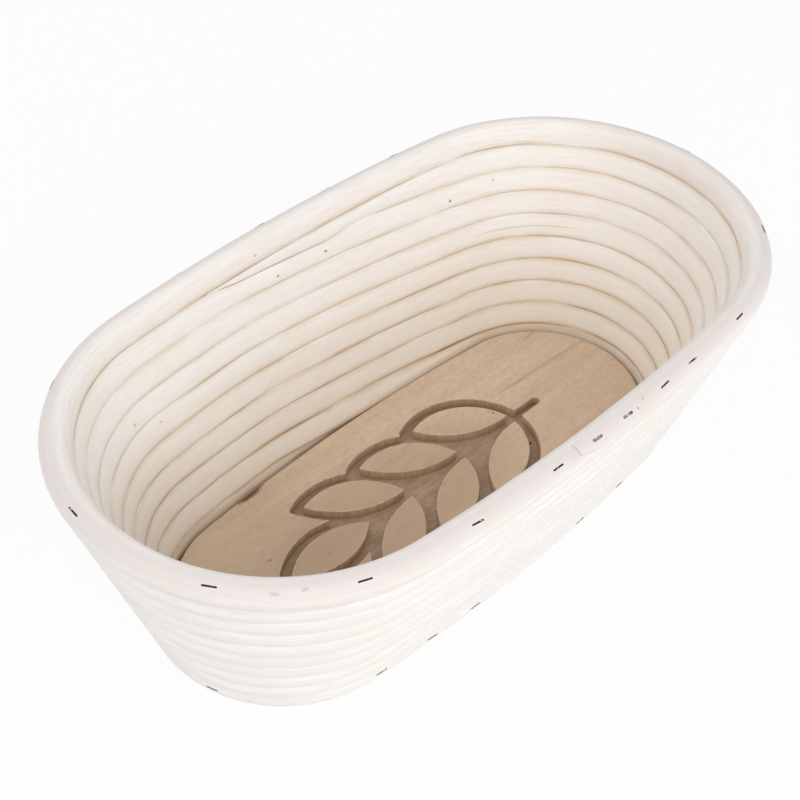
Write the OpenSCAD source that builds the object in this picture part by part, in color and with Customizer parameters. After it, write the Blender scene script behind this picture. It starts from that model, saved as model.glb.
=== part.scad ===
// Oval proofing basket: a spiral wall of round cane on a wooden base board with a
// routed wheat ear. Millimetres, +Z up, +X along the length. The origin is in the
// middle of the board's underside, which is the face that the basket stands on.

/* [Oval] */
// Length of the rim along its middle line
rim_length = 280; // [250:1:330]
// Width of the rim across its middle line
rim_width = 148; // [135:1:180]
// How far the long sides bow out past straight
side_bow = 3.5; // [1:0.1:6]

/* [Cane] */
// Thickness of the wall's cane, across the flats of its section
cane_d = 9; // [7:0.1:10.5]
// Thickness of the rim's cane, across the flats of its section
rim_d = 9.6; // [7:0.1:12]
// Gap between one course and the next
course_gap = 0.5; // [0.42:0.01:0.7]
// Number of courses in the wall, with the rim
courses = 10; // [8:1:12]
// Lean of the wall from upright, in degrees
wall_flare = 18.1; // [8:0.1:24]
// Height of the lowest course above the surface that the board stands on
foot_gap = 0.3; // [0.1:0.1:1]

/* [Winding] */
// Place along the back side where each turn starts to climb to the next course
climb_start_x = 82; // [60:1:90]
// Place along the back side where that climb ends
climb_end_x = -32; // [-50:1:-15]
// Thickness of a shaved cane end where it is cut off
tip_t = 1.4; // [1:0.1:2.5]
// The turn in which the lower length of cane meets the upper one
splice_turn = 4; // [2:1:6]
// Place of that splice along the back side
splice_x = -25; // [-28:1:-22]
// Length of the slanting cut of that splice
splice_length = 12; // [6:1:14]
// Gap left along the cane at the splice
splice_gap = 0.8; // [0.7:0.1:1.5]
// Place along the front side where the rim's upper end runs out
rim_lap_x = -20; // [-30:1:-10]
// Length over which the rim's two shaved ends lap
rim_lap_length = 64; // [45:1:70]

/* [Base board] */
// Thickness of the board
board_t = 9; // [7:0.5:12]
// Clearance between the board's edge and the lowest course
board_clearance = 0.3; // [0.2:0.05:0.8]

/* [Wheat ear] */
// Depth of the routed ground around the grains
rout_depth = 4.5; // [1.5:0.1:5]
// Width of the routed channel around a grain
channel_w = 4.2; // [3:0.1:5]
// Extra length of that channel past a grain's tips
channel_tip = 1; // [0.5:0.1:2]
// Pairs of grains along the stem
grain_pairs = 3; // [2:1:3]
// Length of a grain from tip to tip
grain_l = 38.5; // [32:0.5:42]
// Swell of a grain on its outer side
grain_out = 9; // [6:0.1:10]
// Swell of a grain on its inner side
grain_in = 5.8; // [4:0.1:7]
// Swell of the end grain on each side
end_grain_swell = 7.6; // [5:0.1:9]
// How far the end grain lies forward of a further pair's place
end_grain_shift = 8; // [4:0.5:12]
// Spacing of the pairs along the stem
grain_step = 28.8; // [26:0.1:31]
// Slope of a grain away from the stem, in degrees
grain_angle = 30.5; // [24:0.5:36]
// Distance of a grain's inner tip from the stem's middle
grain_off = 2.1; // [1.5:0.1:4]
// Place of the first pair's inner tips along the board
first_pair_x = 50; // [46:0.5:54]
// Length of the stem's tail past the first pair
stem_l = 14.5; // [8:0.5:18]
// Width of the stem's channel
stem_w = 3.6; // [2.5:0.1:5]
// Half width of the routed ground between the two rows
ground_half_w = 6; // [5:0.5:8]
// How far behind a pair's inner tips that ground starts and ends
ground_back = 11.5; // [8:0.5:16]
// How much further that ground runs on towards the end grain
ground_tail = 5; // [4:0.5:6]

/* [Staples] */
// Width of a staple's crown
staple_crown = 5; // [4:0.1:7]
// Length of a staple's legs
staple_leg = 14; // [12.5:0.5:16]
// Thickness of a staple's wire
staple_wire = 1; // [0.6:0.1:1.2]
// How far the crowns that show stand proud of the cane
crown_proud = 0.3; // [0.1:0.1:0.8]
// Depth of the hidden crowns below the top of their course
crown_sunk = 0.1; // [0.05:0.05:0.5]
// Lean of the rim's staples from upright, in degrees
rim_staple_lean = 36; // [20:1:45]

/* [Hidden] */
staple_rows = [for (level = [2 : courses - 1]) level];
function row_name(level) = str("course_", level, "_staples");
$fn = 180;

// Oval of four arcs: all courses share its centres, so they are offsets of each other
end_r_rim = rim_width / 2 - side_bow;
end_x = rim_length / 2 - end_r_rim;
side_y = (end_x * end_x - side_bow * side_bow) / (2 * side_bow);
function side_r(r) = r + side_bow + side_y;
arc_switch = atan2(side_y, end_x);

// Points of the oval by the direction that its outside faces, in degrees from +X
function on_side(a) = abs(sin(a)) > sin(arc_switch);
function arc_centre(a) =
    on_side(a) ? [0, -sign(sin(a)) * side_y] : [sign(cos(a)) * end_x, 0];
function oval_at(a, r) = arc_centre(a) + (on_side(a) ? side_r(r) : r) * [cos(a), sin(a)];
function back_angle(x, r) = acos(x / side_r(r));
function front_angle(x, r) = 360 - back_angle(x, r);

// Courses climb the wall in equal steps, from level 1 beside the board to the rim
pitch = cane_d + course_gap;
half_d = cane_d / 2;
rim_half = rim_d / 2;
section_sides = 8;
corner_share = 1 / cos(180 / section_sides);
rim_level = courses;
last_turn = courses - 1;
low_z = half_d * corner_share + foot_gap;
function level_r(level) = end_r_rim - (rim_level - level) * pitch * sin(wall_flare);
function level_z(level) = low_z + (level - 1) * pitch * cos(wall_flare);

// The first climb hugs the board: it slides in across the slope of the wall
function tuck(level) =
    level > 1 && level < 2 ? (level - 1 - pow(level - 1, 3)) * pitch * tan(wall_flare) : 0;

// Directions of the stations round one loop, anticlockwise from the +X end
end_steps = 14;
side_steps = 8;
function spread(a, b, n) = [for (i = [0 : n - 1]) a + (b - a) * i / n];
loop_angles = concat(
    spread(0, arc_switch, end_steps / 2),
    spread(arc_switch, 180 - arc_switch, side_steps),
    spread(180 - arc_switch, 180 + arc_switch, end_steps),
    spread(180 + arc_switch, 360 - arc_switch, side_steps),
    spread(360 - arc_switch, 360, end_steps / 2)
);
loop_n = len(loop_angles);

// The board fills the lowest course, whose inner face is made of short flats at the ends
board_r = (level_r(1) - half_d * corner_share) * cos(arc_switch / end_steps) - board_clearance;

// Share of the climb to the next course that is done at a station
function share(u) = max(0, min(1, u));
function climb(a, r) =
    a >= 180 ? 1 : share((climb_start_x - oval_at(a, r)[0]) / (climb_start_x - climb_end_x));

climb_slope = pitch / (climb_start_x - climb_end_x);

// The first turn starts as a wedge under the second, and the last ends as a wedge under the rim
function turn_level(turn, s) =
    turn == 0 ? (1 + s) / 2 : turn == last_turn ? last_turn + s / 2 : turn + s;
function wedge_half(s) = half_d * s - (1 - s) * course_gap / 2;
function turn_half(turn, s) =
    turn == 0 ? wedge_half(s) : turn == last_turn ? wedge_half(1 - s) : half_d;

// A shaved end keeps more of its width than of its thickness
function shaved_width(half, full) = (half + full) / 2;

// A station: direction, level, half thickness, half width, lift, slant of the cut, shift along the cane
function turn_station(turn, a, slant = 0, shift = 0) =
    let (s = climb(a, level_r(turn + 0.5)), half = turn_half(turn, s))
    [a, turn_level(turn, s), half, shaved_width(half, half_d), 0, slant, shift];

// Corner points of the cane's section at a station, square to the slope of the wall
function ring(st) =
    let (
        c = oval_at(st[0], level_r(st[1])),
        out = [cos(st[0]), sin(st[0])],
        along = [-sin(st[0]), cos(st[0])]
    )
    [for (k = [0 : section_sides - 1])
        let (
            t = (k + 0.5) * 360 / section_sides,
            run = st[6] + st[5] * sin(t) / 2,
            w = corner_share * st[2] * sin(t) + st[4] + run * climb_slope,
            v = corner_share * st[3] * cos(t) - tuck(st[1]),
            p = c + (w * sin(wall_flare) + v * cos(wall_flare)) * out + run * along
        )
        [p[0], p[1], level_z(st[1]) + w * cos(wall_flare) - v * sin(wall_flare)]
    ];

// Stations of the wall between one turn and direction and another
function turns(from_turn, from_a, to_turn, to_a) = [
    for (turn = [from_turn : to_turn])
        for (a = loop_angles)
            if ((turn > from_turn || a > from_a) && (turn < to_turn || a < to_a))
                turn_station(turn, a)
];

// Directions where the wedge ends come down to the thickness of their tips
tip_s = (tip_t + course_gap) / (cane_d + course_gap);
climb_run = climb_end_x - climb_start_x;
start_a = back_angle(climb_start_x + climb_run * tip_s, level_r(0.5));
finish_a = back_angle(climb_end_x - climb_run * tip_s, level_r(last_turn + 0.5));
tip_clear = 0.6;

// The splice, with the ordinary stations kept clear of its slanting cut
splice_clear = splice_length / 2 + 3;
function splice_angle(dx) = back_angle(splice_x + dx, level_r(splice_turn + 1));
lower_stations = concat(
    [turn_station(0, start_a)],
    turns(0, start_a + tip_clear, splice_turn, splice_angle(splice_clear)),
    [turn_station(splice_turn, splice_angle(0), -splice_length, -splice_gap / 2)]
);
upper_stations = concat(
    [turn_station(splice_turn, splice_angle(0), -splice_length, splice_gap / 2)],
    turns(splice_turn, splice_angle(-splice_clear), last_turn, finish_a - tip_clear),
    [turn_station(last_turn, finish_a)]
);

// The rim is one length whose shaved ends lap on the front side, with the end that starts it on top
rim_lift = (rim_d - cane_d) / 2;
function rim_station(a, half, lift) =
    [a, rim_level, half, shaved_width(half, rim_half), rim_lift + lift, 0, 0];
function lap_share(a) =
    a < 180 ? 0 : share((oval_at(a, end_r_rim)[0] - rim_lap_x) / rim_lap_length);
function upper_end(a) =
    let (q = lap_share(a), cut = q < 1 ? course_gap / 4 : 0)
    rim_station(a, rim_half * q - cut, rim_half * (1 - q) + cut);
function lower_end(a) =
    let (q = lap_share(a), cut = q > 0 ? course_gap / 4 : 0)
    rim_station(a, rim_half * (1 - q) - cut, -rim_half * q - cut);
lap_tip = rim_lap_length * (tip_t + course_gap / 2) / rim_d;
lap_first_a = front_angle(rim_lap_x + lap_tip, end_r_rim);
lap_last_a = front_angle(rim_lap_x + rim_lap_length - lap_tip, end_r_rim);
rim_stations = concat(
    [upper_end(lap_first_a)],
    [for (a = loop_angles) if (a > lap_first_a + tip_clear) upper_end(a)],
    [for (a = loop_angles) if (a < lap_last_a - tip_clear) lower_end(a)],
    [lower_end(lap_last_a)]
);

// Least distance between the corner points of one turn and those of the next
nearby = 8;
function ring_gap(p, q) = min([for (m = p) min([for (n = q) norm(m - n)])]);
function least_gap(rings) = min([
    for (i = [0 : len(rings) - 1])
        for (j = [i + loop_n - nearby : i + loop_n + nearby])
            if (j < len(rings)) ring_gap(rings[i], rings[j])
]);

// One unbroken tube through its stations, with a flat face at each end
module cane(label, stations) {
    rings = [for (st = stations) ring(st)];
    n = section_sides;
    last = (len(rings) - 1) * n;
    echo(str(label, ": least gap to itself, mm"), least_gap(rings));
    walls = [
        for (i = [0 : len(rings) - 2])
            for (k = [0 : n - 1])
                let (p = i * n + k, q = i * n + (k + 1) % n)
                each [[p, q, p + n], [q, q + n, p + n]]
    ];
    caps = [for (k = [1 : n - 2]) each [[0, k + 1, k], [last, last + k, last + k + 1]]];
    polyhedron(points = [for (r = rings) each r], faces = concat(walls, caps), convexity = 10);
}

module lower_cane() {
    color("linen")
    cane("lower_cane", lower_stations);
}

module upper_cane() {
    color("linen")
    cane("upper_cane", upper_stations);
}

module rim_cane() {
    color("oldlace")
    cane("rim_cane", rim_stations);
}

// Outline of the board: two end circles and the gently bowed sides between them
module board_outline() {
    tangent_x = end_x + board_r * cos(arc_switch);
    for (side = [-1, 1])
        translate([side * end_x, 0])
        circle(r = board_r);
    intersection() {
        intersection_for (side = [-1, 1])
            translate([0, side * side_y])
            circle(r = side_r(board_r), $fn = 1440);
        square([2 * tangent_x, 4 * board_r], center = true);
    }
}

// A lens from tip to tip along +X, grown by a margin, with the grown tips cut round
module lens(swell_up, swell_down, margin) {
    half = grain_l / 2;
    r_up = (half * half + swell_up * swell_up) / (2 * swell_up);
    r_down = (half * half + swell_down * swell_down) / (2 * swell_down);
    translate([half, 0])
    intersection() {
        translate([0, swell_up - r_up])
        circle(r = r_up + margin);
        translate([0, r_down - swell_down])
        circle(r = r_down + margin);
        circle(r = half + margin + channel_tip);
    }
}

// All grains of the ear, grown by a margin
module grains(margin) {
    for (i = [0 : grain_pairs - 1])
        for (side = [0, 1])
            mirror([0, side])
            translate([first_pair_x - i * grain_step, grain_off])
            rotate(180 - grain_angle)
            lens(grain_in, grain_out, margin);
    translate([first_pair_x - grain_pairs * grain_step + end_grain_shift, 0])
    rotate(180)
    lens(end_grain_swell, end_grain_swell, margin);
}

// The routed ground: a channel round every grain, the space between the rows and the stem
module routed_ground() {
    ground_l = (grain_pairs - 1) * grain_step;
    difference() {
        union() {
            grains(channel_w);
            translate([first_pair_x - ground_back - ground_l - ground_tail, -ground_half_w])
            square([ground_l + ground_tail, 2 * ground_half_w]);
            translate([first_pair_x, -stem_w / 2])
            square([stem_l, stem_w]);
            translate([first_pair_x + stem_l, 0])
            circle(d = stem_w);
        }
        grains(0);
    }
}

module base_board() {
    color("tan")
    difference() {
        linear_extrude(board_t)
        board_outline();
        translate([0, 0, board_t - rout_depth])
        linear_extrude(rout_depth + 1)
        routed_ground();
    }
}

// A staple with the middle of its crown's top at the origin and its legs along -Z
module staple() {
    inner = staple_crown - 2 * staple_wire;
    rotate([90, 0, 90])
    translate([0, 0, -staple_wire / 2])
    linear_extrude(staple_wire)
    difference() {
        translate([-staple_crown / 2, -staple_leg])
        square([staple_crown, staple_leg]);
        translate([-inner / 2, -staple_leg - staple_wire])
        square([inner, staple_leg]);
    }
}

// A staple driven towards the middle of a course, at a lean from upright
module driven_staple(a, level, half, lean, proud) {
    p = oval_at(a, level_r(level));
    surface = half / cos((lean - wall_flare + 180 / section_sides) % (360 / section_sides) - 180 / section_sides);
    translate([p[0], p[1], level_z(level)])
    rotate([0, 0, a])
    rotate([0, wall_flare, 0])
    translate([0, 0, half - half_d])
    rotate([0, lean - wall_flare, 0])
    translate([0, 0, surface + proud])
    staple();
}

// Places of the staples that show: as shares of the way from the middle of a long side to the
// centre of an end, and by direction round the ends
base_front = [-1.02, -0.69, -0.39, 0.43, 0.79];
base_back = [-0.95, -0.6];
base_end_a = [-58, -10, 40, 70, 120, 158, 197];
rim_front = [-0.86, -0.36, -0.09, 0.13, 0.42, 0.65, 1.08];
rim_back = [-0.69, -0.13, 0.35, 0.83];
rim_end_a = [-43, 0, 40, 125, 171, 211, 246];

module base_staples() {
    angles = concat(
        [for (u = base_front) front_angle(u * end_x, level_r(1))],
        [for (u = base_back) back_angle(u * end_x, level_r(1))],
        base_end_a
    );
    color("dimgray")
    for (a = angles)
        driven_staple(a, 1, half_d, 90, crown_proud);
}

module rim_staples() {
    angles = concat(
        [for (u = rim_front) front_angle(u * end_x, end_r_rim)],
        [for (u = rim_back) back_angle(u * end_x, end_r_rim)],
        rim_end_a
    );
    color("dimgray")
    for (a = angles)
        driven_staple(a, rim_level, rim_half, rim_staple_lean, crown_proud);
}

// A row of hidden staples that holds a course down on the one below, clear of the climb
row_first = end_steps / 2 + side_steps - 1;
row_last = loop_n + end_steps / 2 - 3;
row_step = 4;
module course_staples(level) {
    color("dimgray")
    for (i = [row_first + level % 2 * row_step / 2 : row_step : row_last])
        driven_staple(loop_angles[i % loop_n], level, half_d, wall_flare, -crown_sunk);
}

base_board();
lower_cane();
upper_cane();
rim_cane();
base_staples();
rim_staples();
for (level = staple_rows)
    course_staples(level);
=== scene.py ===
import math
import bmesh
import bpy
from mathutils import Matrix, Vector, noise


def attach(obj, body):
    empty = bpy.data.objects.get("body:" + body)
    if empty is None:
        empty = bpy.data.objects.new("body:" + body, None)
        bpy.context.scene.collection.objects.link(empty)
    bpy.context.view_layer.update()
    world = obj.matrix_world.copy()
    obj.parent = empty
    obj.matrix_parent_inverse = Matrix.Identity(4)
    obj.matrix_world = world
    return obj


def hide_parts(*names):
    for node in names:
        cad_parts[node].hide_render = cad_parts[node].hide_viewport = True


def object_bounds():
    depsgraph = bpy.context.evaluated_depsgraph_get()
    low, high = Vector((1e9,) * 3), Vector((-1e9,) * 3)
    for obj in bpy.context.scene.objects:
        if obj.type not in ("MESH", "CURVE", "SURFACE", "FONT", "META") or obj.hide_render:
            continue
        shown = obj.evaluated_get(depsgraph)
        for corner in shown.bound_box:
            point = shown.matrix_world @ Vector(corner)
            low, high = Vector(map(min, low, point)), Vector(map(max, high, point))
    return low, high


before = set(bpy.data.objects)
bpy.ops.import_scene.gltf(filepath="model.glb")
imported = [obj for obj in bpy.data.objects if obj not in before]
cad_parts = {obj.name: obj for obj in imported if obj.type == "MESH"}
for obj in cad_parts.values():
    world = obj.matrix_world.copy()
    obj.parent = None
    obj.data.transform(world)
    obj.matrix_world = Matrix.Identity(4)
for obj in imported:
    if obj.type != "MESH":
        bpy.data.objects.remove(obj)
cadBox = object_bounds()
scene = bpy.context.scene

# lengths are in metres and angles in degrees, unless a note says otherwise
# camera at the photograph's angle
view = {"azimuth": -49.037, "elevation": 43.758, "roll": 3.519, "distance": 0.57477, "aimHeight": 0.040,
        "lens": 71.909, "shiftX": -0.0331, "shiftY": 0.0277, "clipStart": 0.01}


def cameraPlace(v):
    azimuth, elevation, roll = (math.radians(v[k]) for k in ("azimuth", "elevation", "roll"))
    back = Vector((math.sin(azimuth) * math.cos(elevation),
                   -math.cos(azimuth) * math.cos(elevation), math.sin(elevation)))
    right = Vector((0, 0, 1)).cross(back).normalized()
    up = back.cross(right)
    rolledRight = right * math.cos(roll) + up * math.sin(roll)
    rolledUp = up * math.cos(roll) - right * math.sin(roll)
    turn = Matrix((rolledRight, rolledUp, back)).transposed().to_4x4()
    return Matrix.Translation(back * v["distance"] + Vector((0, 0, v["aimHeight"]))) @ turn


lensData = bpy.data.cameras.new("photoCamera")
lensData.lens = view["lens"]
lensData.shift_x = view["shiftX"]
lensData.shift_y = view["shiftY"]
lensData.clip_start = view["clipStart"]
photoCamera = bpy.data.objects.new("photoCamera", lensData)
scene.collection.objects.link(photoCamera)
photoCamera.matrix_world = cameraPlace(view)
scene.camera = photoCamera
scene.view_settings.view_transform = "Standard"
print("camera placed")


# shader maths as Python expressions
class Wire:
    def __init__(self, bench, socket):
        self.bench = bench
        self.socket = socket

    def __add__(self, other):
        return self.bench.maths("ADD", self, other)

    def __sub__(self, other):
        return self.bench.maths("SUBTRACT", self, other)

    def __rsub__(self, other):
        return self.bench.maths("SUBTRACT", other, self)

    def __mul__(self, other):
        return self.bench.maths("MULTIPLY", self, other)

    def __abs__(self):
        return self.bench.maths("ABSOLUTE", self, 0)

    __radd__ = __add__
    __rmul__ = __mul__

    def output(self, name):
        return Wire(self.bench, self.socket.node.outputs[name])


class Bench:
    def __init__(self, tree):
        self.tree = tree
        tree.nodes.clear()

    def node(self, kind, settings=None, inputs=None, output=0):
        made = self.tree.nodes.new("ShaderNode" + kind)
        for key, value in (settings or {}).items():
            setattr(made, key, value)
        for key, value in (inputs or {}).items():
            if isinstance(value, Wire):
                self.tree.links.new(value.socket, made.inputs[key])
            else:
                made.inputs[key].default_value = value
        return Wire(self, made.outputs[output]) if len(made.outputs) else None

    def maths(self, operation, a, b):
        return self.node("Math", {"operation": operation}, {0: a, 1: b})

    def blend(self, factor, a, b):
        return self.node("Mix", {"data_type": "RGBA"}, {0: factor, 6: a, 7: b}, 2)

    def step(self, value, band):
        return self.node("MapRange", {"interpolation_type": "SMOOTHSTEP"},
                         {"Value": value, "From Min": band[0], "From Max": band[1]})

    def pattern(self, vector, stretch, place=(0, 0, 0), scale=1.0, detail=2.0, rough=0.5,
                distortion=0.0):
        stretched = self.node("Mapping", None, {"Vector": vector, "Scale": stretch, "Location": place})
        return self.node("TexNoise", None, {"Vector": stretched, "Scale": scale, "Detail": detail,
                                            "Roughness": rough, "Distortion": distortion})

    def axes(self, vector):
        parts = self.node("SeparateXYZ", None, {"Vector": vector})
        return [parts.output(axis) for axis in "XYZ"]

    def awayFrom(self, place, middle, reach, turn=0):
        near = self.node("Mapping", {"vector_type": "TEXTURE"},
                         {"Vector": place, "Location": middle, "Rotation": (0, 0, turn), "Scale": reach})
        return self.node("VectorMath", {"operation": "LENGTH"}, {0: near}, "Value")


# screen levels, 0 to 255, to linear light
def tone(red, green, blue):
    flat = [c / 255 for c in (red, green, blue)]
    return tuple(c / 12.92 if c <= 0.04045 else ((c + 0.055) / 1.055) ** 2.4 for c in flat) + (1.0,)


def newFinish(name):
    made = bpy.data.materials.new(name)
    made.use_nodes = True
    return made, Bench(made.node_tree)


def closeFinish(bench, look, colour, rough, height, metal=0.0):
    bump = bench.node("Bump", None, {"Strength": 1.0, "Distance": look["relief"], "Height": height})
    surface = bench.node("BsdfPrincipled", None,
                         {"Base Color": colour, "Roughness": rough, "Metallic": metal,
                          "Specular IOR Level": look["gloss"], "Normal": bump})
    bench.node("OutputMaterial", None, {"Surface": surface})


# small marks: place, half lengths, turn about Z and strength, in millimetres and degrees
markEdge = {"ragged": {"stretch": (1500, 1500, 1500), "detail": 3.0, "rough": 0.7},
            "depth": 0.9, "fade": (0.8, 1.3)}


def paintMarks(bench, place, base, look):
    ragged = bench.pattern(place, **markEdge["ragged"])
    for spot, size, turn, strength in look["marks"]:
        middle, reach = [c / 1000 for c in spot], [c / 1000 for c in size]
        away = bench.awayFrom(place, middle, reach, math.radians(turn))
        within = 1 - bench.step(away + markEdge["depth"] * ragged, markEdge["fade"])
        base = bench.blend(strength * within, base, look["mark"])
    return base


# heights of the routed floor and of the board's face
boardHeights = sorted({round(v.co.z, 5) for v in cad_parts["base_board"].data.vertices})
routFloor, boardHigh = boardHeights[1], boardHeights[-1]

# peeled cane: the grain attribute is the cane straightened out, in cane radii
# among these colours, inner is painted shade down the inside wall, crease and groove tint dust with
# painted shade in the grooves, line is painted shade along the grooves and also the split's dark line,
# and the tan and dark brown after it are painted shade where the wall meets the board
caneLook = {
    "pale": tone(249, 247, 246), "warm": tone(248, 244, 238), "pink": tone(246, 240, 236),
    "inner": tone(238, 228, 213), "fibre": tone(231, 220, 206), "crease": tone(226, 217, 212),
    "groove": tone(212, 188, 153), "line": tone(166, 136, 102), "boardTintedShade": tone(207, 181, 151),
    "footShade": tone(122, 88, 58), "mark": tone(104, 78, 58), "relief": 0.00008, "gloss": 0.35,
    "fibres": {"stretch": (0.035, 1, 1), "scale": 9.0, "detail": 3.0, "rough": 0.6},
    "fineFibres": {"stretch": (0.03, 1, 1), "place": (7, 3, 1), "scale": 22.0, "rough": 0.6},
    "patches": {"stretch": (0.16, 0.7, 0.7), "place": (3, 0, 5), "detail": 3.0, "rough": 0.6},
    "blush": {"stretch": (0.05, 0.9, 0.9), "place": (1, 6, 2), "scale": 1.3, "detail": 3.0,
              "rough": 0.6},
    "breaks": {"stretch": (0.20, 1, 1), "place": (9, 4, 0), "scale": 0.8},
    "bands": {"inside": (-0.4, 0.6), "warm": (0.38, 0.66), "pink": (0.42, 0.64),
              "fibre": (0.44, 0.68), "fineFibre": (0.52, 0.70), "dustAndShadeSide": (0.50, 1.0),
              "dustAndShadePatch": (0.28, 0.62), "lineSide": (0.86, 0.98), "broken": (0.36, 0.62)},
    "shares": {"pink": 0.70, "inner": 0.72, "fibre": 0.34, "fineFibre": 0.26, "dustAndShade": 0.34,
               "deepDustAndShade": 0.44, "line": 0.14, "insideLine": 0.22, "paintedShadingLine": 0.50},
    "rough": {"least": 0.50, "fibre": 0.16, "dustAndShade": 0.10},
    "height": {"fibre": 0.55, "fineFibre": 0.45},
    "marks": [((74.5, 59.8, 68.8), (1.0, 1.0, 1.0), 0, 0.8),
              ((94.5, 55.1, 71.4), (1.2, 1.2, 0.8), 0, 0.25),
              ((12.4, 65.1, 74.2), (1.1, 0.9, 0.9), 0, 0.8),
              ((-11.1, 65.6, 75.2), (1.4, 0.9, 0.9), 0, 0.8),
              ((26.2, 62.5, 60.8), (0.9, 0.9, 0.9), 0, 0.35),
              ((-90.5, 61.0, 73.1), (1.5, 1.5, 1.0), 0, 0.7),
              ((-87.6, 54.1, 59.8), (1.5, 0.9, 0.9), 20, 0.4),
              ((-76.4, 54.5, 53.5), (0.8, 0.8, 0.8), 0, 0.4),
              ((-100.8, -43.4, 25.3), (0.9, 0.9, 0.9), 0, 0.3)]}
# on the rim, inner is painted light on the inner face and crown is painted shade on the top
rimLook = {
    **caneLook, "pale": tone(246, 242, 240), "warm": tone(243, 237, 230), "pink": tone(242, 233, 230),
    "inner": tone(249, 244, 240), "fibre": tone(226, 213, 202), "crown": tone(229, 220, 216),
    "mark": tone(176, 146, 112), "shares": {**caneLook["shares"], "inner": 0.80},
    "marks": [((-121.1, -52.8, 90.5), (2.8, 0.9, 1.5), -50, 0.35),
              ((-114.1, -57.7, 90.9), (1.9, 0.8, 1.5), -20, 0.35),
              ((14.0, -77.1, 90.5), (0.8, 0.8, 0.8), 0, 0.9),
              ((17.9, -75.7, 91.2), (0.8, 0.8, 0.8), 0, 0.6),
              ((-18.6, 68.7, 86.5), (0.9, 0.9, 0.9), 0, 0.5)]}


def caneGround(bench, look, noises, paintedShading):
    bands, shares = look["bands"], look["shares"]
    fibre = bench.step(noises["fibres"], bands["fibre"])
    fineFibre = bench.step(noises["fineFibres"], bands["fineFibre"])
    base = bench.blend(bench.step(noises["patches"], bands["warm"]), look["pale"], look["warm"])
    base = bench.blend(shares["pink"] * bench.step(noises["blush"], bands["pink"]), base, look["pink"])
    # the inner tint follows the painted shading mask: painted shade on the wall, painted light on the
    # rim
    base = bench.blend(shares["inner"] * paintedShading, base, look["inner"])
    base = bench.blend(shares["fibre"] * fibre, base, look["fibre"])
    return bench.blend(shares["fineFibre"] * fineFibre, base, look["fibre"])


# only the wall has painted shade down the inside, paler towards the top and one fixed share at the far
# end, a short split, and painted shade beside the board: a board-tinted strip and a dark shadow in the
# gap
wallPaint = {"shadeFadeHeight": (0.005, 0.080), "farEndShading": (0.102, 0.128), "farEndShadingLevel": 0.30,
             "splitUp": -0.08, "splitThin": (0.02, 0.09), "splitHeight": 0.0525,
             "splitReach": (0.0030, 0.0045), "splitFromX": (0.078, 0.094), "splitToX": (0.108, 0.120),
             "splitBack": (0, 0.02), "splitInner": (0.5, 0.7), "splitShare": 0.38, "facing": (0.2, 0.6),
             "boardTintedShade": (boardHigh + 0.0004, boardHigh + 0.0026), "boardTintedShadeShare": 0.55,
             "footShade": (boardHigh - 0.0008, boardHigh + 0.0001), "footShadeShare": 0.20, "brokenFootShade": 0.5,
             "gapShadeFade": (0.02, 0.09), "gapShadeFadeShare": 0.8}


# painted shade down the inside wall: full near the bottom, none near the top, and one fixed share at the
# far end
def wallShading(bench, at, inside):
    paintedShading = inside * (1 - bench.step(at["height"], wallPaint["shadeFadeHeight"]))
    return paintedShading + bench.step(at["x"], wallPaint["farEndShading"]) * (wallPaint["farEndShadingLevel"] * inside - paintedShading)


def wallSplit(bench, at):
    paint = wallPaint
    thin = 1 - bench.step(abs(at["up"] - paint["splitUp"]), paint["splitThin"])
    near = 1 - bench.step(abs(at["height"] - paint["splitHeight"]), paint["splitReach"])
    run = bench.step(at["x"], paint["splitFromX"]) * (1 - bench.step(at["x"], paint["splitToX"]))
    side = bench.step(at["y"], paint["splitBack"]) * bench.step(at["inward"], paint["splitInner"])
    return thin * near * run * side


def wallTouches(bench, base, look, at, broken):
    paint = wallPaint
    base = bench.blend(paint["splitShare"] * wallSplit(bench, at), base, look["line"])
    facing = bench.step(at["inward"], paint["facing"])
    # painted shade warmed by the board, on the inward-facing cane up to just above the board's face
    boardTintedShade = facing * (1 - bench.step(at["height"], paint["boardTintedShade"]))
    base = bench.blend(paint["boardTintedShadeShare"] * boardTintedShade, base, look["boardTintedShade"])
    # painted shadow in the gap below the board's face, broken in places and fainter towards the stem end
    footShade = facing * (1 - bench.step(at["height"], paint["footShade"]))
    footShade = footShade * (paint["footShadeShare"] + paint["brokenFootShade"] * broken)
    gapShadeKept = 1 - paint["gapShadeFadeShare"] * bench.step(at["x"], paint["gapShadeFade"])
    return bench.blend(footShade * gapShadeKept, base, look["footShade"])


# only the rim has painted shade on its crown, less of it at the back, and warmer painted shade at its
# far end
rimPaint = {"shadingIn": 0.9, "shadingUp": 0.2, "paintedShading": (0.1, 0.8), "crownShadeUp": (0.3, 0.85),
            "crownShadeIn": (0.1, 0.6), "crownShadeShare": 0.8, "back": (0.020, 0.060), "backLessShade": 0.5,
            "farEndShading": (0.120, 0.140), "farEndShadeShare": 0.4}


def rimTouches(bench, base, look, at, paintedShading):
    paint = rimPaint
    # painted shade on the rim's top and outer side, less of it at the back
    crown = bench.step(at["up"], paint["crownShadeUp"]) * (1 - bench.step(at["inward"], paint["crownShadeIn"]))
    crown = crown * (paint["crownShadeShare"] - paint["backLessShade"] * bench.step(at["y"], paint["back"]))
    base = bench.blend(crown, base, look["crown"])
    # warmer painted shade on the inner face at the far end
    farEndShading = paintedShading * bench.step(at["x"], paint["farEndShading"])
    return bench.blend(paint["farEndShadeShare"] * farEndShading, base, look["fibre"])


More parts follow.
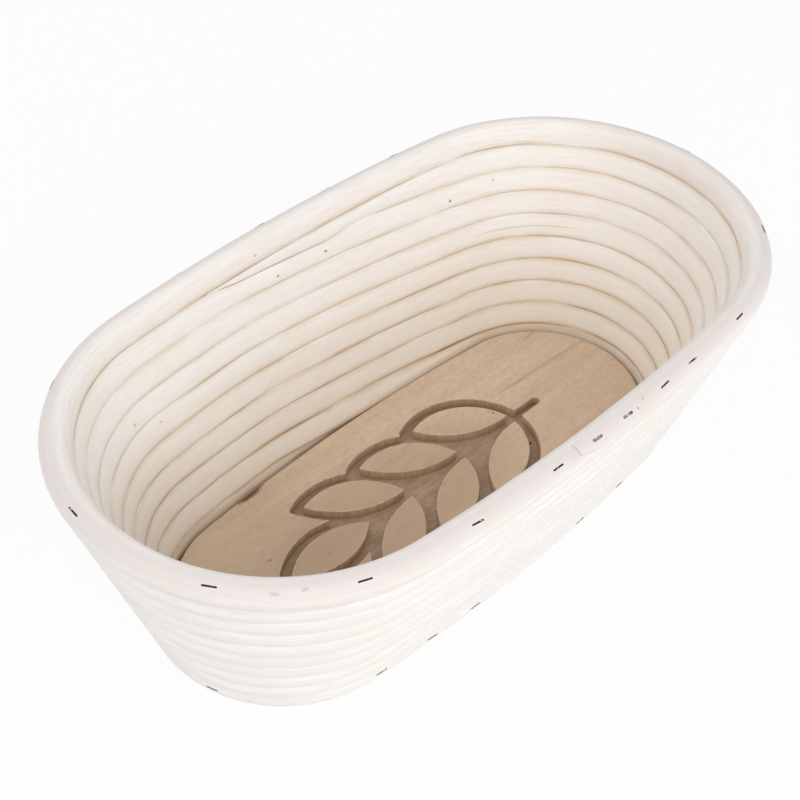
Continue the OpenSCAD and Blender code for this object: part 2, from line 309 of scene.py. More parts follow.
def caneFinish(name, look, isRim):
    made, bench = newFinish(name)
    bands, shares = look["bands"], look["shares"]
    grain = bench.node("Attribute", {"attribute_name": "grain"}, output="Vector")
    outward, up = bench.axes(grain)[1:]
    inward = outward * -1
    place = bench.node("TexCoord", None, None, "Object")
    x, y, height = bench.axes(place)
    at = {"x": x, "y": y, "height": height, "up": up, "inward": inward}
    kinds = ("fibres", "fineFibres", "patches", "blush", "breaks")
    noises = {kind: bench.pattern(grain, **look[kind]) for kind in kinds}
    broken = bench.step(noises["breaks"], bands["broken"])
    inside = bench.step(inward, bands["inside"])
    if isRim:
        # painted light on the rim's inner face, which also strengthens the groove dust, painted shade
        # and lines there
        paintedShading = bench.step(rimPaint["shadingIn"] * inward + rimPaint["shadingUp"] * up, rimPaint["paintedShading"])
        side = bench.maths("MAXIMUM", up * -1, 0)
    else:
        paintedShading = wallShading(bench, at, inside)
        side = abs(up)
    base = caneGround(bench, look, noises, paintedShading)
    # groove tint: dust together with painted shade towards the grooves, more of it where the painted
    # shading is
    grooveTint = bench.blend(inside, look["crease"], look["groove"])
    dustAndShade = bench.step(side, bands["dustAndShadeSide"]) * bench.step(noises["patches"], bands["dustAndShadePatch"])
    base = bench.blend(dustAndShade * (shares["dustAndShade"] + shares["deepDustAndShade"] * paintedShading), base, grooveTint)
    # a thin painted shade line along the grooves, broken in places, stronger inside and where the
    # painted shading is
    grooveShade = shares["line"] + shares["insideLine"] * inside + shares["paintedShadingLine"] * paintedShading
    base = bench.blend(bench.step(side, bands["lineSide"]) * broken * grooveShade, base, look["line"])
    if isRim:
        base = rimTouches(bench, base, look, at, paintedShading)
    else:
        base = wallTouches(bench, base, look, at, broken)
    base = paintMarks(bench, place, base, look)
    coarse, fine, dull = look["height"]["fibre"], look["height"]["fineFibre"], look["rough"]
    rough = dull["least"] + dull["fibre"] * noises["fibres"] + dull["dustAndShade"] * dustAndShade
    closeFinish(bench, look, base, rough, coarse * noises["fibres"] + fine * noises["fineFibres"])
    return made


wallFinish = caneFinish("peeledCane", caneLook, False)
rimFinish = caneFinish("rimCane", rimLook, True)

# board: fine grain along its length and darker routed ground; its top has wear and painted shade over
# the ear, painted light at the tip end, painted shade at the stem end and painted shadow on its side in
# the gap
boardLook = {
    "light": tone(230, 206, 180), "mid": tone(221, 195, 168), "dark": tone(195, 168, 141),
    "pore": tone(150, 122, 96), "gap": tone(112, 84, 60), "mark": tone(102, 70, 42),
    "relief": 0.00006, "gloss": 0.30,
    "wander": {"stretch": (4, 14, 14)}, "drift": (0, 0.010, 0),
    "streaks": {"stretch": (6, 150, 60), "detail": 3.0, "rough": 0.6},
    "fibres": {"stretch": (35, 1100, 300), "detail": 3.0, "rough": 0.6},
    "pores": {"stretch": (110, 2600, 600), "place": (5, 2, 0), "detail": 1.0, "rough": 0.4},
    "clouds": {"stretch": (9, 16, 16), "place": (2, 8, 1)},
    "mottle": {"stretch": (330, 560, 300), "place": (1, 5, 3), "detail": 4.0, "rough": 0.7},
    "bands": {"streak": (0.30, 0.70), "fibre": (0.40, 0.72), "cloud": (0.45, 0.70),
              "mottle": (0.44, 0.68), "pore": (0.66, 0.76), "ear": (0.6, 1.15),
              "tipEndLight": (-0.090, -0.050), "stemEndShade": (0.060, 0.100), "gapShadeFade": (0.02, 0.09),
              "upper": (0.4 * boardHigh, 0.6 * boardHigh),
              "gapTop": (boardHigh - 0.0004, boardHigh - 0.0001)},
    "shares": {"fibre": 0.20, "cloud": 0.35, "mottle": 0.38, "ear": 0.62, "tipEndLight": 0.40,
               "stemEndShade": 0.10, "pore": 0.28, "gap": 0.55, "boardGapShadeFade": 0.47},
    "earMiddle": (-0.016, 0, 0), "earReach": (0.065, 0.028, 1),
    "rough": (0.58, 0.14), "poreDepth": 0.8,
    "marks": [((-50.5, 40.2, 9.0), (10.0, 3.0, 3.0), 3, 0.95),
              ((47.0, 6.7, 9.0), (0.9, 0.7, 1.0), 30, 0.95),
              ((46.3, 8.4, 9.0), (0.7, 0.4, 1.0), 10, 0.5),
              ((-66.7, 11.2, 9.0), (1.9, 0.45, 1.0), -15, 0.7),
              ((82.0, 11.3, 9.0), (42.0, 1.5, 1.0), -2.9, 0.22),
              ((93.5, 27.4, 9.0), (9.0, 0.8, 1.0), 8, 0.25)]}
routLook = {
    "floorLight": tone(197, 172, 148), "floorDark": tone(174, 148, 124),
    "wallLight": tone(209, 183, 156), "wallDark": tone(191, 163, 136),
    "footShade": tone(170, 141, 115), "mark": tone(70, 48, 32),
    "relief": 0.00012, "gloss": 0.2, "rough": (0.70, 0.15),
    "fuzz": {"stretch": (160, 520, 300), "detail": 4.0, "rough": 0.65, "distortion": 0.6},
    "scores": {"stretch": (900, 900, 40)}, "clouds": {"stretch": (60, 60, 60)},
    "bands": {"fuzz": (0.35, 0.68), "cloud": (0.45, 0.7), "score": (0.34, 0.66),
              "footShade": (routFloor + 0.0001, boardHigh - 0.0010),
              "wall": (routFloor + 0.0001, routFloor + 0.0005)},
    "shares": {"cloud": 0.35, "footShade": 0.8},
    "marks": [((48.4, -12.0, 4.5), (1.3, 0.8, 1.5), 30, 0.85)]}
edgeLook = {"light": tone(225, 202, 176), "dark": tone(204, 177, 150), "relief": 0.00004, "gloss": 0.3,
            "worn": {"stretch": (260, 260, 260), "detail": 3.0, "rough": 0.6}, "band": (0.35, 0.65),
            "rough": (0.55, 0.2)}


def boardFinish(name, look):
    made, bench = newFinish(name)
    bands, shares = look["bands"], look["shares"]
    place = bench.node("TexCoord", None, None, "Object")
    x, high = bench.axes(place)[::2]
    wander = bench.pattern(place, **look["wander"])
    drifted = bench.node("VectorMath", {"operation": "MULTIPLY_ADD"},
                         {0: wander.output("Color"), 1: look["drift"], 2: place})
    fibres = bench.pattern(drifted, **look["fibres"])
    pore = bench.step(bench.pattern(drifted, **look["pores"]), bands["pore"])
    streak = bench.step(bench.pattern(drifted, **look["streaks"]), bands["streak"])
    cloud = bench.step(bench.pattern(place, **look["clouds"]), bands["cloud"])
    mottle = bench.step(bench.pattern(place, **look["mottle"]), bands["mottle"])
    upper = bench.step(high, bands["upper"])
    # over the ear the board's top is darker: partly wear, partly painted shade, set a little towards the
    # tip end
    fromEar = bench.awayFrom(place, look["earMiddle"], look["earReach"])
    ear = upper * (1 - bench.step(fromEar, bands["ear"]))
    # painted shadow on the board's side in the gap, fainter towards the stem end
    gap = upper * (1 - bench.step(high, bands["gapTop"]))
    gap = gap * (shares["gap"] - shares["boardGapShadeFade"] * bench.step(x, bands["gapShadeFade"]))
    base = bench.blend(streak, look["light"], look["mid"])
    base = bench.blend(shares["fibre"] * bench.step(fibres, bands["fibre"]), base, look["dark"])
    base = bench.blend(shares["cloud"] * cloud, base, look["dark"])
    base = bench.blend(shares["mottle"] * mottle, base, look["dark"])
    base = bench.blend(shares["ear"] * ear, base, look["dark"])
    # painted light towards the tip end and painted shade towards the stem end
    base = bench.blend(shares["tipEndLight"] * (1 - bench.step(x, bands["tipEndLight"])), base, look["light"])
    base = bench.blend(shares["stemEndShade"] * bench.step(x, bands["stemEndShade"]), base, look["dark"])
    base = bench.blend(shares["pore"] * pore, base, look["pore"])
    base = bench.blend(gap, base, look["gap"])
    base = paintMarks(bench, place, base, look)
    least, more = look["rough"]
    closeFinish(bench, look, base, least + more * fibres, fibres - look["poreDepth"] * pore)
    return made


def routFinish(name, look):
    made, bench = newFinish(name)
    bands, shares = look["bands"], look["shares"]
    place = bench.node("TexCoord", None, None, "Object")
    low = bench.axes(place)[2]
    fuzz, scores, clouds = (bench.pattern(place, **look[kind]) for kind in ("fuzz", "scores", "clouds"))
    floor = bench.blend(bench.step(fuzz, bands["fuzz"]), look["floorLight"], look["floorDark"])
    floor = bench.blend(shares["cloud"] * bench.step(clouds, bands["cloud"]), floor, look["floorDark"])
    wall = bench.blend(bench.step(scores, bands["score"]), look["wallDark"], look["wallLight"])
    # painted shade on the routed walls, darker towards the floor
    wall = bench.blend(shares["footShade"] * (1 - bench.step(low, bands["footShade"])), wall, look["footShade"])
    onWall = bench.step(low, bands["wall"])
    base = paintMarks(bench, place, bench.blend(onWall, floor, wall), look)
    least, more = look["rough"]
    closeFinish(bench, look, base, least + more * fuzz, fuzz * (1 - onWall) + scores * onWall)
    return made


def edgeFinish(name, look):
    made, bench = newFinish(name)
    worn = bench.pattern(bench.node("TexCoord", None, None, "Object"), **look["worn"])
    base = bench.blend(bench.step(worn, look["band"]), look["light"], look["dark"])
    least, more = look["rough"]
    closeFinish(bench, look, base, least + more * worn, worn)
    return made


boardTop = boardFinish("boardGrain", boardLook)
boardRout = routFinish("routedGround", routLook)
boardEdge = edgeFinish("burnishedEdge", edgeLook)

# staples: dark drawn wire, some rubbed bright, and a rubbed one's grain starts past rubbedFrom
stapleLook = {
    "dark": tone(46, 35, 28), "bright": tone(142, 140, 138), "fibre": tone(214, 199, 181),
    "relief": 0.00004, "gloss": 0.25, "rubbedFrom": 500, "rough": (0.45, 0.30), "metal": (0.10, 0.60),
    "tarnish": {"stretch": (900, 900, 900), "detail": 3.0, "rough": 0.6},
    "tarnishBand": (0.46, 0.66), "tarnishShare": 0.6,
    "smear": {"stretch": (520, 520, 520), "place": (3, 1, 2)},
    "smearBand": (0.58, 0.64), "smearShare": 0.8}


def stapleFinish(name, look):
    made, bench = newFinish(name)
    along = bench.axes(bench.node("Attribute", {"attribute_name": "grain"}, output="Vector"))[0]
    place = bench.node("TexCoord", None, None, "Object")
    tarnish = bench.pattern(place, **look["tarnish"])
    smear = bench.step(bench.pattern(place, **look["smear"]), look["smearBand"])
    rubbed = bench.step(along, (look["rubbedFrom"], look["rubbedFrom"] + 1))
    base = bench.blend(rubbed, look["dark"], look["bright"])
    dulled = bench.step(tarnish, look["tarnishBand"])
    base = bench.blend(look["tarnishShare"] * dulled, base, look["dark"])
    base = bench.blend(look["smearShare"] * smear, base, look["fibre"])
    least, more = look["rough"]
    plain, bright = look["metal"]
    metal = (plain + bright * rubbed) * (1 - smear)
    closeFinish(bench, look, base, least + more * tarnish, tarnish, metal)
    return made


wireFinish = stapleFinish("stapleWire", stapleLook)
print("finishes mixed")

# the winding: courses are offsets of one oval of four arcs, and each turn climbs on the back side
winding = {"endRadius": 0.0705, "endX": 0.0695, "sideBow": 0.0035, "pitch": 0.0095, "flare": 18.1,
           "lowZ": 0.005171, "rimLevel": 10, "lastTurn": 9, "climbStart": 0.082, "climbEnd": -0.032,
           "climbRound": 0.05, "endSteps": 60, "sideSteps": 36}
wallCane = {"half": 0.00477, "outerBulge": 1.5, "innerBulge": 2.6, "corner": 0.045, "sides": 28,
            "shave": 0.0001, "thinIn": 0.1, "tip": 0.0004, "tipRoom": 0.0005, "tipClear": 0.008,
            "wobble": 0.00012, "swell": 0.015, "sharp": 50, "spliceTurn": 4, "spliceX": -0.025,
            "spliceSlant": -0.012, "spliceGap": 0.00012, "spliceClear": 0.0082}
# the last turn's shaved end sits in a notch of the course below
coilEnd = {"depth": 0.0026, "tipX": -0.047, "tipRoom": 0.004, "fullX": -0.027, "deepX": 0.012,
           "fromX": 0.032}
# hand-wound cane is a little uneven, but the lowest course is held true by the board
unevenness = {"seed": 7, "trueTo": 2.5, "wobbleScale": 30, "wobbleUp": 0.4, "swellScale": 55,
              "swellStep": 3.7}
noise.seed_set(unevenness["seed"])  # without a seed, noise_vector follows the clock

flare = math.radians(winding["flare"])
sideY = (winding["endX"] ** 2 - winding["sideBow"] ** 2) / (2 * winding["sideBow"])
arcSwitch = math.atan2(sideY, winding["endX"])
halfTurn, fullTurn = math.pi, 2 * math.pi


def sideRadius(radius):
    return radius + winding["sideBow"] + sideY


def ovalPoint(angle, radius):
    onSide = abs(math.sin(angle)) > math.sin(arcSwitch)
    facing = Vector((math.cos(angle), math.sin(angle), 0))
    if onSide:
        centre = Vector((0, -math.copysign(sideY, math.sin(angle)), 0))
        return centre + facing * sideRadius(radius)
    return Vector((math.copysign(winding["endX"], math.cos(angle)), 0, 0)) + facing * radius


def backAngle(x, radius):
    return math.acos(x / sideRadius(radius))


def frontAngle(x, radius):
    return fullTurn - backAngle(x, radius)


def levelRadius(level):
    return winding["endRadius"] - (winding["rimLevel"] - level) * winding["pitch"] * math.sin(flare)


def levelHeight(level):
    return winding["lowZ"] + (level - 1) * winding["pitch"] * math.cos(flare)


def tuckIn(level):
    u = level - 1
    return (u - u ** 3) * winding["pitch"] * math.tan(flare) if 0 < u < 1 else 0


def roundedShare(u):
    e = winding["climbRound"]
    if u < e:
        return max(0, u + e) ** 2 / (4 * e)
    if u > 1 - e:
        return 1 - max(0, 1 + e - u) ** 2 / (4 * e)
    return u


def climbShare(angle, radius):
    if angle >= halfTurn:
        return 1
    run = winding["climbStart"] - winding["climbEnd"]
    return roundedShare((winding["climbStart"] - ovalPoint(angle, radius).x) / run)


def spread(a, b, n):
    return [a + (b - a) * i / n for i in range(n)]


endSteps, sideSteps = winding["endSteps"], winding["sideSteps"]
loopAngles = (spread(0, arcSwitch, endSteps // 2) + spread(arcSwitch, halfTurn - arcSwitch, sideSteps)
              + spread(halfTurn - arcSwitch, halfTurn + arcSwitch, endSteps)
              + spread(halfTurn + arcSwitch, fullTurn - arcSwitch, sideSteps)
              + spread(fullTurn - arcSwitch, fullTurn, endSteps // 2))
climbSlope = winding["pitch"] / (winding["climbStart"] - winding["climbEnd"])


def smoothShare(x, low, high):
    u = min(1, max(0, (x - low) / (high - low)))
    return u * u * (3 - 2 * u)


def looseness(level):
    return smoothShare(level, 1, unevenness["trueTo"])


# columns of a matrix: two half widths of a section, its run and its middle
def placed(wide, thick, run, middle):
    rows = [(wide[i], thick[i], run[i], middle[i]) for i in range(3)]
    return Matrix((*rows, (0, 0, 0, 1)))


# a station carries a unit circle to the cane's section there
def station(angle, level, halfThick, halfWide, lift=0, slant=0, shift=0, wobble=0):
    out = Vector((math.cos(angle), math.sin(angle), 0))
    along = Vector((-math.sin(angle), math.cos(angle), 0))
    upSlope = out * math.sin(flare) + Vector((0, 0, math.cos(flare)))
    across = out * math.cos(flare) - Vector((0, 0, math.sin(flare)))
    centre = ovalPoint(angle, levelRadius(level)) + Vector((0, 0, levelHeight(level)))
    drift = noise.noise_vector(centre * unevenness["wobbleScale"]) * wobble * looseness(level)
    centre += upSlope * (lift + shift * climbSlope + drift.x * unevenness["wobbleUp"])
    centre += across * (drift.y - tuckIn(level)) + along * shift
    lean = upSlope * (halfThick + slant * climbSlope / 2) + along * slant / 2
    return placed(across * halfWide, lean, along, centre)


def swollen(angle, level, amount):
    spot = ovalPoint(angle, levelRadius(level)) * unevenness["swellScale"]
    spot += Vector((0, 0, level * unevenness["swellStep"]))
    return 1 + amount * looseness(level) * noise.noise(spot)


def notchDepth(angle, radius):
    x = ovalPoint(angle, radius).x
    if math.sin(angle) < 0:
        return 0
    rise = smoothShare(x, coilEnd["tipX"], coilEnd["fullX"])
    return coilEnd["depth"] * rise * smoothShare(-x, -coilEnd["fromX"], -coilEnd["deepX"])


def wallStation(turn, angle, slant=0, shift=0):
    cane, last = wallCane, winding["lastTurn"]
    share = climbShare(angle, levelRadius(turn + 0.5))
    level, taper = turn + share, 1
    if turn == 0:
        level, taper = (1 + share) / 2, share
    if turn == last:
        level, taper = last + share / 2, 1 - share
    notch = notchDepth(angle, levelRadius(turn + 0.5)) if turn >= last - 1 else 0
    half = cane["half"] * taper - (1 - taper) * cane["shave"]
    half += notch / 2 if turn == last else -notch / 2
    half = max(cane["tip"] / 2, half)
    wide = cane["half"]
    if turn in (0, last):
        wide -= cane["thinIn"] * max(0, cane["half"] - half)
    size = swollen(angle, level, cane["swell"])
    return station(angle, level, half * size, wide * size, -notch / 2, slant, shift, cane["wobble"])


def wallTurns(fromTurn, fromAngle, toTurn, toAngle):
    return [wallStation(turn, a) for turn in range(fromTurn, toTurn + 1) for a in loopAngles
            if (turn > fromTurn or a > fromAngle) and (turn < toTurn or a < toAngle)]


# sections: flat wire, cane pressed between two courses, and cane with a round top
def pressedSection(sides, press):
    ring = [(math.cos(fullTurn * i / sides), math.sin(fullTurn * i / sides)) for i in range(sides)]
    return [Vector([math.copysign(abs(c) ** (2 / press), c) for c in point]) for point in ring]


def barrelSection(sides, outerBulge, innerBulge, corner):
    last = sides // 2 - 1
    points = []
    for face, bulge in ((1, outerBulge), (-1, innerBulge)):
        for i in range(last + 1):
            u = 2 * i / last - 1
            x = math.sqrt(1 - (u / bulge) ** 2) - (corner if i in (0, last) else 0)
            points.append(Vector((face * x, face * u)))
    return points


def lowerFace(quarter, bulge):
    depths = [1 - i / quarter for i in range(quarter)]
    return [Vector((math.sqrt(1 - (u / bulge) ** 2), -u)) for u in depths]


def rimSection(sides, outerBulge, innerBulge):
    quarter = sides // 4
    turns = [halfTurn * i / (2 * quarter) for i in range(2 * quarter + 1)]
    top = [Vector((math.cos(t), math.sin(t))) for t in turns]
    inner = [Vector((-q.x, q.y)) for q in lowerFace(quarter, innerBulge)]
    return lowerFace(quarter, outerBulge) + top + inner[::-1]


# a section is pulled through its stations, ring by ring
def pullThrough(bm, stations, section, radius, start=0):
    layers = bm.verts.layers.float_vector
    grain = layers.get("grain") or layers.new("grain")
    first = bmesh.ops.create_circle(bm, cap_ends=True, radius=1, segments=len(section))["verts"]
    for v, point in zip(first, section):
        v[grain] = (start, point.x, point.y)
        v.co = stations[0] @ Vector((point.x, point.y, 0))
    ring = list(dict.fromkeys(e for v in first for e in v.link_edges))
    along = start
    for before, here in zip(stations, stations[1:]):
        along += (here.translation - before.translation).length / radius
        made = bmesh.ops.extrude_edge_only(bm, edges=ring)["geom"]
        fresh = {g for g in made if isinstance(g, bmesh.types.BMVert)}
        for v in fresh:
            turn = v[grain]
            v.co = here @ Vector((turn.y, turn.z, 0))
            v[grain] = (along, turn.y, turn.z)
        ring = [g for g in made if isinstance(g, bmesh.types.BMEdge) and fresh.issuperset(g.verts)]
    bmesh.ops.holes_fill(bm, edges=ring, sides=0)


def pullCane(stations, cane):
    bm = bmesh.new()
    pullThrough(bm, stations, cane["section"], cane["half"])
    bmesh.ops.recalc_face_normals(bm, faces=bm.faces)
    return bm


def layPiece(name, bm, finishes, nodes, smooth=True):
    mesh = bpy.data.meshes.new(name)
    for face in bm.faces:
        face.smooth = smooth
    bm.to_mesh(mesh)
    bm.free()
    for finish in finishes:
        mesh.materials.append(finish)
    piece = bpy.data.objects.new(name, mesh)
    scene.collection.objects.link(piece)
    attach(piece, "root")
    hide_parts(*nodes)


def sharpEnds(bm, degrees):
    for edge in bm.edges:
        if len(edge.link_faces) == 2 and edge.calc_face_angle(0) > math.radians(degrees):
            edge.smooth = False


wallCane["section"] = barrelSection(wallCane["sides"], wallCane["outerBulge"], wallCane["innerBulge"],
                                    wallCane["corner"])
tipShare = (wallCane["tip"] + wallCane["tipRoom"]) / winding["pitch"]
climbRun = winding["climbEnd"] - winding["climbStart"]
startAngle = backAngle(winding["climbStart"] + climbRun * tipShare, levelRadius(0.5))
finishAngle = backAngle(coilEnd["tipX"] + coilEnd["tipRoom"], levelRadius(winding["lastTurn"] + 0.5))
spliceTurn, spliceSlant = wallCane["spliceTurn"], wallCane["spliceSlant"]
halfGap, spliceClear = wallCane["spliceGap"] / 2, wallCane["spliceClear"]
fromTip, toTip = startAngle + wallCane["tipClear"], finishAngle - wallCane["tipClear"]


def spliceAngle(dx):
    return backAngle(wallCane["spliceX"] + dx, levelRadius(spliceTurn + 1))


lowerRoute = ([wallStation(0, startAngle)]
              + wallTurns(0, fromTip, spliceTurn, spliceAngle(spliceClear))
              + [wallStation(spliceTurn, spliceAngle(0), spliceSlant, -halfGap)])
upperRoute = ([wallStation(spliceTurn, spliceAngle(0), spliceSlant, halfGap)]
              + wallTurns(spliceTurn, spliceAngle(-spliceClear), winding["lastTurn"], toTip)
              + [wallStation(winding["lastTurn"], finishAngle)])


# the lowest course is flat where it would dip below the table
def windWall(name, route, nodeName):
    wound = pullCane(route, wallCane)
    for v in wound.verts:
        v.co.z = max(v.co.z, cadBox[0][2])
    sharpEnds(wound, wallCane["sharp"])
    layPiece(name, wound, [wallFinish], [nodeName])


windWall("lowerCane", lowerRoute, "lower_cane")
windWall("upperCane", upperRoute, "upper_cane")
print("wall wound")

# the rim laps itself on the front side: both ends are shaved by one slanting cut
rimCane = {"half": 0.0048, "outerBulge": 1.55, "innerBulge": 2.4, "sides": 28, "lift": 0.0001,
           "lapX": -0.020, "lapLength": 0.064, "lapSpan": 0.068, "upperTipX": -0.0150,
           "lowerTipX": 0.0425, "tipClear": 0.004, "cutGap": 0.00006, "cutMerge": 1e-7,
           "wobble": 0.00015, "swell": 0.014, "sharp": 40}
rimCane["section"] = rimSection(rimCane["sides"], rimCane["outerBulge"], rimCane["innerBulge"])


def rimStation(angle):
    size = rimCane["half"] * swollen(angle, winding["rimLevel"], rimCane["swell"])
    return station(angle, winding["rimLevel"], size, size, rimCane["lift"], wobble=rimCane["wobble"])


def lapPlane():
    ends = []
    for share in (0, 1):
        x = rimCane["lapX"] + share * rimCane["lapLength"]
        there = station(frontAngle(x, winding["endRadius"]), winding["rimLevel"], 1, 1, rimCane["lift"])
        ends.append(there @ Vector((0, rimCane["half"] * (1 - 2 * share), 0)))
    across = there.col[0].to_3d()
    normal = (ends[1] - ends[0]).cross(across).normalized()
    return (ends[0] + ends[1]) / 2, normal if normal.z > 0 else -normal


def shaveEnd(bm, nearRings, point, normal):
    verts = set(nearRings)
    geom = nearRings + [e for e in bm.edges if verts.issuperset(e.verts)]
    geom += [f for f in bm.faces if verts.issuperset(f.verts)]
    bmesh.ops.bisect_plane(bm, geom=geom, dist=rimCane["cutMerge"], plane_co=point, plane_no=normal,
                           clear_outer=True)
    bmesh.ops.holes_fill(bm, edges=[e for e in bm.edges if e.is_boundary], sides=0)


def rimTube():
    first = frontAngle(rimCane["upperTipX"], winding["endRadius"])
    last = frontAngle(rimCane["lowerTipX"], winding["endRadius"])
    leaving = [a for a in loopAngles if a > first + rimCane["tipClear"]]
    coming = [a for a in loopAngles if a < last - rimCane["tipClear"]]
    bm = pullCane([rimStation(a) for a in (first, *leaving, *coming, last)], rimCane)
    point, normal = lapPlane()
    grain = bm.verts.layers.float_vector["grain"]
    length = max(v[grain].x for v in bm.verts)
    lapSpan = rimCane["lapSpan"] / rimCane["half"]
    gap = normal * rimCane["cutGap"]
    shaveEnd(bm, [v for v in bm.verts if v[grain].x < lapSpan], point + gap, -normal)
    shaveEnd(bm, [v for v in bm.verts if v[grain].x > length - lapSpan], point - gap, normal)
    bmesh.ops.recalc_face_normals(bm, faces=bm.faces)
    sharpEnds(bm, rimCane["sharp"])
    return bm


layPiece("rimCane", rimTube(), [rimFinish], ["rim_cane"])
print("rim lapped")

# the board is a copy of its solid, merged and softened along its edges
board = {"merge": 1e-6, "flat": 0.5, "sharp": 40, "soft": 0.00035, "segments": 2, "outlineX": 0.108,
         "outlineY": 0.0385, "level": 0.98, "floorSlack": 1e-4, "pocketSlack": 1e-5, "pocketTop": 1.2}


def softenedBoard():
    bm = bmesh.new()
    bm.from_mesh(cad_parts["base_board"].data)
    bmesh.ops.remove_doubles(bm, verts=bm.verts, dist=board["merge"])
    bmesh.ops.dissolve_limit(bm, angle_limit=math.radians(board["flat"]), verts=bm.verts, edges=bm.edges)
    limit = math.radians(board["sharp"])
    sharp = [e for e in bm.edges if len(e.link_faces) == 2 and e.calc_face_angle(0) > limit]
    bmesh.ops.bevel(bm, geom=sharp, offset=board["soft"], affect="EDGES", segments=board["segments"],
                    profile=0.5, material=-1)
    return bm


# slots: 0 the faces and the long sides' edges, 1 where the cutter has been, 2 the other edges
def boardSlot(face):
    middle = face.calc_center_median()
    pocketTop = boardHigh - board["soft"] * board["pocketTop"]
    inPocket = routFloor - board["pocketSlack"] < middle.z < pocketTop
    outline = abs(middle.y) > board["outlineY"] or abs(middle.x) > board["outlineX"]
    if abs(face.normal.z) > board["level"] or outline:
        return 1 if abs(middle.z - routFloor) < board["floorSlack"] else 0
    return 1 if inPocket else 2


def boardPiece():
    bm = softenedBoard()
    for face in bm.faces:
        face.material_index = boardSlot(face)
    bmesh.ops.triangulate(bm, faces=[f for f in bm.faces if len(f.verts) > 4])
    layPiece("baseBoard", bm, [boardTop, boardRout, boardEdge], ["base_board"], smooth=False)


boardPiece()
print("board softened")

# staples of flat wire: the crown lies along the cane, the legs go down the wall or into the board
staples = {"crown": 0.0050, "leg": 0.0135, "wide": 0.00036, "rubbedWide": 0.00060, "thick": 0.00026,
           "bend": 0.0006, "bendTurns": (0, 30, 60, 90), "proud": 0.00012, "knee": 0.0053,
           "sides": 8, "press": 3.0, "lean": 36, "hiddenLean": 57, "baseLean": 90, "yaw": 9,
           "dip": 0.05, "unevenStep": (3.1, 1.7, 0.5), "edgeOn": 1e-6}
# places are shares of the end arcs' X on the long sides, and degrees round the ends
rimPlaces = {"front": (-0.86, -0.36, -0.09, 0.13, 0.42, 0.65, 1.08),
             "back": (-0.69, -0.13, 0.35, 0.83), "ends": (-43, 0, 40, 125, 171, 211, 246),
             "outside": (-0.69, 0.35, 40, 125), "rubbed": (-0.09, 0.13)}
basePlaces = {"front": (-1.02, -0.69, -0.39, 0.43, 0.79), "back": (-0.95, -0.6),
              "ends": (-58, -10, 40, 70, 120, 158, 197)}
stapleSection = pressedSection(staples["sides"], staples["press"])


def placeAngles(places, radius):
    return ([frontAngle(u * winding["endX"], radius) for u in places["front"]]
            + [backAngle(u * winding["endX"], radius) for u in places["back"]]
            + [math.radians(a) for a in places["ends"]])


def wireStations(points, across, halfWide):
    made = []
    for i, here in enumerate(points):
        run = (points[min(i + 1, len(points) - 1)] - points[max(i - 1, 0)]).normalized()
        side = (across - run * across.dot(run)).normalized()
        made.append(placed(side * halfWide, run.cross(side) * staples["thick"], run, here))
    return made


def driveStaple(bm, surface, along, inward, legTurn, uneven, isRubbed):
    across = along.cross(inward).normalized()
    yaw = math.radians(staples["yaw"]) * uneven.x
    along, across = (along * math.cos(yaw) + across * math.sin(yaw),
                     across * math.cos(yaw) - along * math.sin(yaw))
    along = (along + inward * staples["dip"] * uneven.y).normalized()
    half, bend, knee = staples["crown"] / 2, staples["bend"], staples["knee"]
    top = surface - inward * (staples["proud"] - staples["thick"])
    turns = [math.radians(step) for step in staples["bendTurns"]]
    corner = [(half - bend * (1 - math.sin(t)), bend * (1 - math.cos(t))) for t in turns]
    limb = [top + along * x + inward * d for x, d in corner]
    low = top + along * half + inward * knee
    limb += [low, low + legTurn * (staples["leg"] - knee)]
    mirrored = [q - along * (2 * along.dot(q - top)) for q in limb]
    halfWide, start = staples["wide"], 0
    if isRubbed:
        halfWide, start = staples["rubbedWide"], 2 * stapleLook["rubbedFrom"]
    wires = wireStations(mirrored[::-1] + limb, across, halfWide)
    pullThrough(bm, wires, stapleSection, staples["wide"], start)


def sectionReach(section, angle):
    facing = Vector((math.sin(angle), math.cos(angle)))
    reaches = []
    for p, q in zip(section, section[1:] + section[:1]):
        normal = Vector((q.y - p.y, p.x - q.x))
        if normal.dot(facing) > staples["edgeOn"]:
            reaches.append(normal.dot(p) / normal.dot(facing))
    return min(reaches)


def stapleRow(cane, level, lift, drives, intoBoard):
    bm = bmesh.new()
    perStaple, perLevel, offset = staples["unevenStep"]
    for i, (angle, lean, isRubbed) in enumerate(drives):
        out = Vector((math.cos(angle), math.sin(angle), 0))
        along = Vector((-math.sin(angle), math.cos(angle), 0))
        upSlope = out * math.sin(flare) + Vector((0, 0, math.cos(flare)))
        tilt = math.radians(lean)
        face = out * math.sin(tilt) + Vector((0, 0, math.cos(tilt)))
        centre = ovalPoint(angle, levelRadius(level)) + Vector((0, 0, levelHeight(level)))
        centre += upSlope * lift
        size = cane["half"] * swollen(angle, level, cane["swell"])
        surface = centre + face * size * sectionReach(cane["section"], tilt - flare)
        uneven = noise.noise_vector(Vector((i * perStaple, level * perLevel, offset)))
        driveStaple(bm, surface, along, -face, -face if intoBoard else -upSlope, uneven, isRubbed)
    bmesh.ops.recalc_face_normals(bm, faces=bm.faces)
    return bm


def rimLean(place):
    return staples["hiddenLean" if place in rimPlaces["outside"] else "lean"]


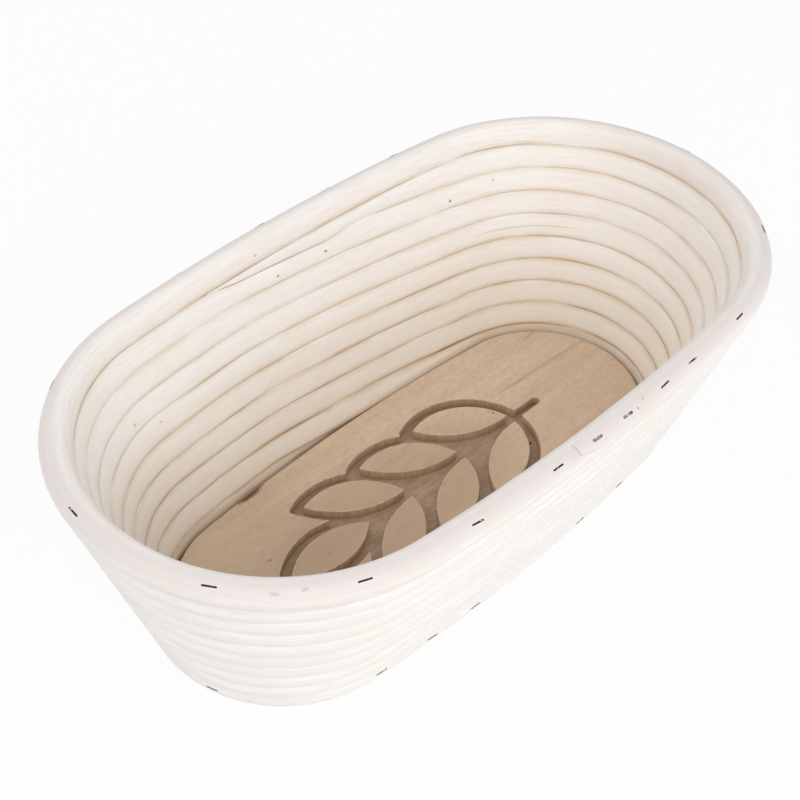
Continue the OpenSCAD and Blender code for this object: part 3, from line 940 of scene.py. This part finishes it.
rimShares = rimPlaces["front"] + rimPlaces["back"] + rimPlaces["ends"]
rimDrives = [(angle, rimLean(place), place in rimPlaces["rubbed"])
             for angle, place in zip(placeAngles(rimPlaces, winding["endRadius"]), rimShares)]
layPiece("rimStaples", stapleRow(rimCane, winding["rimLevel"], rimCane["lift"], rimDrives, False),
         [wireFinish], ["rim_staples"])
baseDrives = [(angle, staples["baseLean"], False) for angle in placeAngles(basePlaces, levelRadius(1))]
layPiece("baseStaples", stapleRow(wallCane, 1, 0, baseDrives, True),
         [wireFinish], ["base_staples"])
for nodeName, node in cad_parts.items():
    if nodeName.startswith("course_"):
        node.data.materials.clear()
        node.data.materials.append(wireFinish)
print("staples driven")

# pale floor and soft studio light
floorLook = {"radius": 3.0, "segments": 96, "colour": (0.86, 0.86, 0.86, 1), "lift": 0.92,
             "drop": -0.0002}
studio = {"white": (1, 1, 1, 1), "worldLight": 0.42, "lampSize": 1.0, "aim": (0, 0, view["aimHeight"])}
lamps = {"keyLamp": {"from": (-0.80, -0.90, 1.05), "watts": 6.2},
         "frontLamp": {"from": (0.0, -1.30, 0.80), "watts": 6.0},
         "fillLamp": {"from": (0.80, -1.20, 0.50), "watts": 2.3},
         "leftLamp": {"from": (-1.20, 0.50, 0.90), "watts": 4.3},
         "skyLamp": {"from": (-0.30, 0.10, 1.50), "watts": 1.0},
         "backLamp": {"from": (0.30, 1.20, 1.00), "watts": 2.8}}


def seenRays(bench):
    rays = bench.node("LightPath", None, None, "Is Camera Ray")
    seen = bench.maths("MAXIMUM", rays, rays.output("Is Glossy Ray"))
    return bench.maths("MAXIMUM", seen, rays.output("Is Transmission Ray"))


def paleFloor():
    bm = bmesh.new()
    bmesh.ops.create_circle(bm, cap_ends=True, radius=floorLook["radius"],
                            segments=floorLook["segments"])
    bmesh.ops.translate(bm, verts=bm.verts, vec=(0, 0, floorLook["drop"]))
    mesh = bpy.data.meshes.new("paleFloor")
    bm.to_mesh(mesh)
    bm.free()
    made, bench = newFinish("paleFloor")
    matt = bench.node("BsdfDiffuse", None, {"Color": floorLook["colour"]})
    white = bench.node("Emission", None, {"Color": studio["white"], "Strength": 1.0})
    mixed = bench.node("MixShader", None, {0: seenRays(bench) * floorLook["lift"], 1: matt, 2: white})
    bench.node("OutputMaterial", None, {"Surface": mixed})
    mesh.materials.append(made)
    piece = bpy.data.objects.new("paleFloor", mesh)
    scene.collection.objects.link(piece)


def softLamp(name, lamp):
    data = bpy.data.lights.new(name, "AREA")
    data.shape = "DISK"
    data.size = studio["lampSize"]
    data.energy = lamp["watts"]
    piece = bpy.data.objects.new(name, data)
    scene.collection.objects.link(piece)
    place = Vector(lamp["from"])
    piece.location = place
    piece.rotation_euler = (place - Vector(studio["aim"])).to_track_quat("Z", "Y").to_euler()


def whiteWorld():
    world = bpy.data.worlds.new("whiteWorld")
    scene.world = world
    world.use_nodes = True
    bench = Bench(world.node_tree)
    strength = studio["worldLight"] + seenRays(bench) * (1 - studio["worldLight"])
    sky = bench.node("Background", None, {"Color": studio["white"], "Strength": strength})
    bench.node("OutputWorld", None, {"Surface": sky})


paleFloor()
for lampName, lamp in lamps.items():
    softLamp(lampName, lamp)
whiteWorld()
print("studio lit")
